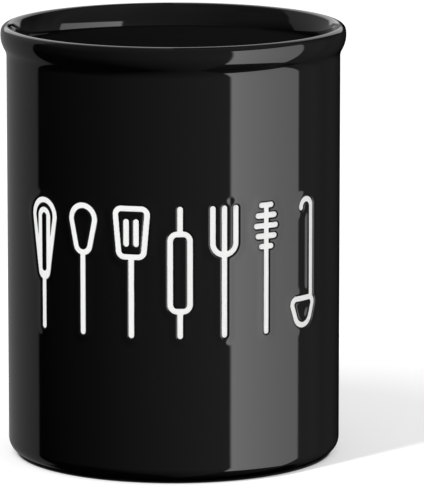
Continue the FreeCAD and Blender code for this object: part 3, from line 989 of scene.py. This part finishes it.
def join_front(lathe, lower, upper, plain, edges):
    """Closes the wall round its front, between a ring below and a ring above."""
    def side(name, i):
        numbers, normals = edges[name]
        return (np.concatenate([lower[[i]], numbers, upper[[i]]]),
                np.concatenate([plain[[i]], normals, plain[[i]]]))

    for i in range(COLUMNS):
        j = (i + 1) % COLUMNS
        if i < FRONT_COLUMNS:
            cells = slice(i * CELLS_PER_COLUMN, (i + 1) * CELLS_PER_COLUMN + 1)
            lathe.spread((lower[[i, j]], plain[[i, j]]), [part[cells] for part in edges["bottom"]])
            lathe.spread((upper[[j, i]], plain[[j, i]]), [part[cells][::-1] for part in edges["top"]])
        elif i == FRONT_COLUMNS:
            lathe.spread(((lower[j], upper[j]), plain[[j, j]]), side("right", i))
        elif j == 0:
            lathe.spread(((upper[i], lower[i]), plain[[i, i]]), [part[::-1] for part in side("left", j)])
        else:
            lathe.face([lower[i], lower[j], upper[j], upper[i]], plain[[i, j, j, i]])


def make_glaze_coat(form, row):
    """The black coat with its row of pressed strokes, and its back against the clay."""
    face = glazed_outline(form, 0.0)
    back = glazed_outline(form, form.glaze)
    wall = form.wall_radius
    lathe = Lathe()
    angles = column_angles()

    edge_up = form.foot_height + form.meniscus
    glaze_line = stretch_arc((form.foot_outer + form.meniscus, edge_up), form.meniscus,
                             HALF_TURN, HALF_TURN + QUARTER_TURN, ROUND_STEPS)
    underside = stretch_line((form.foot_outer + form.meniscus, form.foot_height),
                             face["base"][0, :2], RUN_STEPS)
    margin = row.groove_side + row.welt_top + row.welt_flank + row.stroke
    low = row_bottom(row) - margin
    high = row_top(row) + margin
    first = lathe.ring(angles, *glaze_line[0, :2])
    lower = turn_stretches(lathe, angles, [
        glaze_line, underside, face["base"],
        stretch_line(face["wall"][0, :2], (wall, low - margin), RUN_STEPS)], first)
    upper = lathe.ring(angles, wall, high + margin)
    edges = make_front(lathe, form, row, low, high)
    join_front(lathe, lower, upper, carry_round(angles, 1.0, 0.0), edges)

    order = ("cove", "bead", "lip", "flare", "inner_wall", "well", "floor")
    turn_stretches(lathe, angles, [
        stretch_line((wall, high + margin), face["wall"][1, :2], RUN_STEPS),
        *[face[name] for name in order]], upper)
    behind = [backwards(back[name]) for name in reversed(("base", "wall", *order))]
    clay_edge = (form.foot_outer, back["base"][0, 1])
    last = turn_stretches(lathe, angles, [*behind, stretch_line(back["base"][0, :2], clay_edge)])
    inwards = carry_round(angles, -1.0, 0.0)
    lathe.band(last, first, inwards, inwards)
    return lathe.mesh("black_glaze_coat")


def make_recess_glaze(form):
    """The pool of glaze inside the foot ring, creeping a little up the ring."""
    lathe = Lathe()
    angles = column_angles()
    inner = form.foot_inner
    face = form.foot_height
    behind = face + form.glaze
    creep = CREEP_SHARE * form.meniscus
    corner = (inner - creep, face - creep)
    turn_stretches(lathe, angles, [
        stretch_line((0.0, face), (inner - creep, face), 3 * RUN_STEPS),
        stretch_arc(corner, creep, QUARTER_TURN, 0.0, ROUND_STEPS, hollow=True),
        stretch_line((inner, face - creep), (inner, behind)),
        stretch_line((inner, behind), (0.0, behind), RUN_STEPS),
    ])
    return lathe.mesh("recess_glaze")


def make_clay_pot(form):
    """The fired clay, bare at its foot ring and glazed everywhere else."""
    lathe = Lathe()
    angles = column_angles()
    skin = glazed_outline(form, form.glaze)
    ceiling = form.foot_height + form.glaze
    inner = form.foot_inner
    outer = form.foot_outer
    soft = form.foot_round
    turn_stretches(lathe, angles, [
        stretch_line((0.0, ceiling), (inner, ceiling), RUN_STEPS),
        stretch_line((inner, ceiling), (inner, soft)),
        stretch_arc((inner + soft, soft), soft, HALF_TURN, HALF_TURN + QUARTER_TURN, ROUND_STEPS),
        stretch_line((inner + soft, 0.0), (outer - soft, 0.0), 2 * RUN_STEPS),
        stretch_arc((outer - soft, soft), soft, -QUARTER_TURN, 0.0, ROUND_STEPS),
        stretch_line((outer, soft), (outer, ceiling)),
        stretch_line((outer, ceiling), skin["base"][0, :2]),
        *skin.values(),
    ])
    return lathe.mesh("clay_pot")


def brushed_half_width(row, across, up, seed):
    """Half the width of a stroke, which swells and thins a little as a brush leaves it."""
    slow = np.sin(up / SLOW_WAVES[0] + SLOW_SHIFT * seed) * np.cos(across / SLOW_WAVES[1] + seed)
    quick = np.sin(up / QUICK_WAVES[0] - QUICK_SHIFT * seed + across / QUICK_WAVES[1])
    return row.stroke / 2 * (1 + SLOW_WAVER_SHARE * slow + QUICK_WAVER_SHARE * quick)


def settle_edge(outside, across, up, edge):
    """Moves the points along the edge of a drawing on to its outline."""
    for _ in range(EDGE_PASSES):
        x = across[edge]
        z = up[edge]
        slope_x = (outside(x + SLOPE_STEP, z) - outside(x - SLOPE_STEP, z)) / (2 * SLOPE_STEP)
        slope_z = (outside(x, z + SLOPE_STEP) - outside(x, z - SLOPE_STEP)) / (2 * SLOPE_STEP)
        off = outside(x, z) / np.maximum(slope_x ** 2 + slope_z ** 2, LEAST_SLOPE)
        across[edge] = x - off * slope_x
        up[edge] = z - off * slope_z


def open_sides(cells):
    """The sides that belong to one cell alone, each as its start and end."""
    sides = {}
    for cell in cells:
        for start, end in zip(cell, cell[1:] + cell[:1]):
            if (end, start) in sides:
                del sides[end, start]
            else:
                sides[start, end] = True
    return list(sides)


def make_enamel(form, row, name, strokes, middle, seed):
    """One utensil in white enamel, filling its grooves from the clay up."""
    reach = max(row.whisk_width, row.turner_width, row.ladle_width) / 2 + 2 * row.stroke
    across_steps = np.arange(-reach, reach, ENAMEL_CELL)
    up_steps = np.arange(row_bottom(row) - row.stroke, row_top(row) + row.stroke, ENAMEL_CELL)
    across, up = np.meshgrid(across_steps, up_steps)

    def outside(x, z):
        return nearest(strokes, x, z) - brushed_half_width(row, x, z, seed)

    half_cell = ENAMEL_CELL / 2
    kept = outside(across[:-1, :-1] + half_cell, up[:-1, :-1] + half_cell) < 0
    touching = np.zeros(across.shape, int)
    for rows in (slice(None, -1), slice(1, None)):
        for columns in (slice(None, -1), slice(1, None)):
            touching[rows, columns] += kept
    used = touching > 0
    edge = used & (touching < 4)
    settle_edge(outside, across, up, edge)

    x = across[used]
    z = up[used]
    share = np.clip(nearest(strokes, x, z) / brushed_half_width(row, x, z, seed), 0.0, 1.0)
    share[edge[used]] = 1.0
    face = form.wall_radius - row.recess + row.enamel_dome * np.sqrt(1 - share ** 2)
    seat = form.wall_radius - form.glaze
    turned = middle + np.arcsin(x / form.wall_radius)
    points = np.concatenate([carry_round(turned, radius, z) for radius in (face, seat)])

    number = np.full(across.shape, -1)
    number[used] = np.arange(len(x))
    corners = np.stack([number[:-1, :-1], number[:-1, 1:],
                        number[1:, 1:], number[1:, :-1]], axis=2)[kept]
    cells = corners.tolist()
    under = len(x)
    walls = [(end, start, start + under, end + under) for start, end in open_sides(cells)]
    mesh = smooth_mesh(f"{name}_enamel", points, cells + (corners[:, ::-1] + under).tolist() + walls)
    mesh.set_sharp_from_angle(angle=ENAMEL_EDGE)
    inward = mesh.attributes.new("inward", "FLOAT", "POINT")
    inward.data.foreach_set("value", np.concatenate([1 - share, np.zeros(under)]))
    mesh.update()
    return mesh


class CROCK_OT_clay_pot(Operator):
    """Turn the stoneware pot with its bare foot ring"""

    bl_idname = "crock.clay_pot"
    bl_label = "Clay pot"

    def execute(self, context):
        scene = context.scene
        mesh = make_clay_pot(scene.pot_form)
        add_piece(mesh, bare_stoneware(scene.crock_finish), "stoneware_body")
        return {"FINISHED"}


class CROCK_OT_glaze(Operator):
    """Coat the pot in black glaze, with grooves for the utensils, and fill the recess under it"""

    bl_idname = "crock.glaze"
    bl_label = "Black glaze"

    def execute(self, context):
        scene = context.scene
        glaze = black_glaze(scene.pot_form, scene.crock_finish)
        add_piece(make_glaze_coat(scene.pot_form, scene.utensil_row), glaze, "glaze_coat")
        add_piece(make_recess_glaze(scene.pot_form), glaze, "base_glaze")
        return {"FINISHED"}


class CROCK_OT_enamel(Operator):
    """Lay the row of utensils in white enamel"""

    bl_idname = "crock.enamel"
    bl_label = "White enamel"

    def execute(self, context):
        scene = context.scene
        enamel = white_enamel(scene.crock_finish)
        placed = utensils(scene.pot_form, scene.utensil_row)
        for seed, (name, strokes, middle) in enumerate(placed):
            mesh = make_enamel(scene.pot_form, scene.utensil_row, name, strokes, middle, seed)
            add_piece(mesh, enamel, f"{name}_inlay")
        return {"FINISHED"}


class CROCK_OT_stage(Operator):
    """Set up the floor, the lights and the camera"""

    bl_idname = "crock.stage"
    bl_label = "Stage"

    def execute(self, context):
        studio = context.scene.studio
        lay_floor(context.scene.pot_form, studio)
        light_studio(context.scene, studio)
        set_camera(context.scene, studio)
        context.scene.view_settings.view_transform = "Standard"
        return {"FINISHED"}


def lay_floor(form, studio):
    """A wide round of pale paper."""
    disc = bmesh.new()
    bmesh.ops.create_circle(disc, cap_ends=True, segments=FLOOR_SIDES, radius=FLOOR_RADIUS)
    mesh = bpy.data.meshes.new("studio_floor")
    disc.to_mesh(mesh)
    disc.free()
    mesh.materials.append(pale_floor(form, studio))
    add_object("studio_floor", mesh)


def way(turned, down):
    """The direction that is turned to the right of straight ahead and tipped down."""
    return Vector((math.sin(turned) * math.cos(down), math.cos(turned) * math.cos(down), -math.sin(down)))


def aim(holder, direction):
    """Points a lamp or camera along a direction."""
    holder.rotation_mode = "QUATERNION"
    holder.rotation_quaternion = direction.to_track_quat("-Z", "Y")


def light_studio(scene, studio):
    """A strip light from the left, soft light mostly from the right, and the room that the gloss mirrors."""
    strip = bpy.data.lights.new("key_light", "AREA")
    strip.shape = "RECTANGLE"
    strip.size = studio.key_width
    strip.size_y = studio.key_length
    strip.energy = studio.key_power
    key = add_object("key_light", strip)
    from_key = way(studio.key_turn, studio.key_rise)
    key.location = -studio.key_distance * from_key
    aim(key, from_key)
    key.visible_glossy = False

    world = bpy.data.worlds.new("studio")
    world.use_nodes = True
    scene.world = world
    shader = Shader(world.node_tree)
    toward = shader.node("ShaderNodeTexCoord", output="Generated")
    glossy = shader.ray("Glossy")
    seen = shader.ray("Camera") + shader.ray("Transmission")
    fill = studio.fill_level + studio.fill_level * studio.fill_lean * shader.part(toward, "X")
    strength = glossy * mirrored_room(shader, toward) + seen + (1 - glossy) * (1 - seen) * fill
    background = shader.node("ShaderNodeBackground", sockets={
        "Color": opaque((1.0, 1.0, 1.0)), "Strength": strength})
    shader.node("ShaderNodeOutputWorld", sockets={"Surface": background})


def mirrored_room(shader, toward):
    """What the gloss mirrors: dim walls, a softbox to the right, a pale backdrop and painted shade under the
    crock.
    """
    side, behind, up = [shader.part(toward, axis) for axis in "XYZ"]
    turned = math.degrees(1) * shader.math("ARCTAN2", side, 0 - behind)
    risen = math.degrees(1) * shader.math("ARCSINE", up)

    # Painted shade: the gloss sees the floor under the crock as dark, as its shade would be.
    apart = shader.math("ABSOLUTE", turned)
    climb = PAINTED_SHADE_CLIMB * shader.math("MAXIMUM", apart - PAINTED_SHADE_CLIMB_FROM, 0.0)
    mirrored_floor_shade = shader.rise(apart, *PAINTED_SHADE_SIDE) * (1 - shader.rise(risen - climb, *PAINTED_SHADE_TOP))
    softbox = (shader.window(turned, SOFTBOX_LEFT, SOFTBOX_RIGHT)
               * shader.window(risen, SOFTBOX_FOOT, SOFTBOX_TOP))
    from_front = shader.math("ABSOLUTE", turned + BACKDROP_OFFSET)
    backdrop = (shader.rise(from_front + BACKDROP_LEAN * risen, *BACKDROP_SIDE)
                * shader.window(risen, BACKDROP_FOOT, BACKDROP_TOP))
    return (mirrored_walls(shader, side, turned, risen) * (1 - mirrored_floor_shade)
            + softbox * (SOFTBOX_LEVEL - SOFTBOX_FADE * turned) + BACKDROP_LEVEL * backdrop)


def mirrored_walls(shader, side, turned, risen):
    """The dim walls round the room, with a panel at the left, and how they change up and down."""
    above_view = risen + VIEW_DIP
    leaning = turned - WALL_LEAN * above_view
    panel = 1 - shader.rise(turned, *PANEL_SIDE)
    bend_out = PANEL_BEND * shader.math("MAXIMUM", risen - PANEL_BEND_FROM, 0.0) * panel
    tones = shader.node(
        "ShaderNodeValToRGB",
        {"stops": [((degrees + 180) / 360, tone) for degrees, tone in WALL_TONES]},
        {0: (leaning + bend_out) / 360 + 0.5})
    panel_end = shader.rise(risen, *PANEL_TOP) * shader.rise(turned, *PANEL_BACK) * panel
    beside = shader.rise(leaning, *BESIDE_LEFT) * (1 - shader.rise(turned, *BESIDE_RIGHT))
    upper = shader.rise(above_view, *UPPER_EDGE) * (UPPER_TONE - UPPER_SLOPE * side + BESIDE_TONE * beside)
    ceiling = CEILING_TONE * shader.rise(risen, *CEILING_EDGE) * (1 - shader.rise(leaning, *CEILING_RIGHT))
    lower = (LOWER_FADE * (1 - shader.rise(turned, *LOWER_RIGHT))
             * shader.math("MINIMUM", above_view, 0.0))
    walls = tones * (1 - PANEL_END_SHADE * panel_end)
    return shader.math("MAXIMUM", walls + (upper + ceiling) + lower, 0.0)


def set_camera(scene, studio):
    """A long lens from the front, looking down a little."""
    camera = bpy.data.cameras.new("camera")
    camera.lens = studio.lens
    holder = add_object("camera", camera)
    holder.location = (0.0, -studio.distance, studio.camera_height)
    aim(holder, way(studio.turn, studio.tilt))
    scene.camera = holder


class CROCK_PT_panel(Panel):
    """The crock's sizes, finishes and the steps that make it"""

    bl_idname = "CROCK_PT_panel"
    bl_label = "Utensil crock"
    bl_space_type = "VIEW_3D"
    bl_region_type = "UI"
    bl_category = "Crock"

    def draw(self, context):
        for step in STEPS:
            self.layout.operator(step.bl_idname)
        for name, group in GROUPS.items():
            box = self.layout.box()
            for setting in group.__annotations__:
                box.prop(getattr(context.scene, name), setting)


STEPS = (CROCK_OT_clay_pot, CROCK_OT_glaze, CROCK_OT_enamel, CROCK_OT_stage)
GROUPS = {"pot_form": PotForm, "utensil_row": UtensilRow, "crock_finish": Finish, "studio": Studio}


def register():
    for made in (*GROUPS.values(), *STEPS, CROCK_PT_panel):
        bpy.utils.register_class(made)
    for name, group in GROUPS.items():
        setattr(bpy.types.Scene, name, PointerProperty(type=group))


def unregister():
    for name in GROUPS:
        delattr(bpy.types.Scene, name)
    for made in reversed((*GROUPS.values(), *STEPS, CROCK_PT_panel)):
        bpy.utils.unregister_class(made)


def main():
    register()
    bpy.ops.crock.clay_pot()
    bpy.ops.crock.glaze()
    bpy.ops.crock.enamel()
    bpy.ops.crock.stage()


if __name__ == "__main__":
    main()
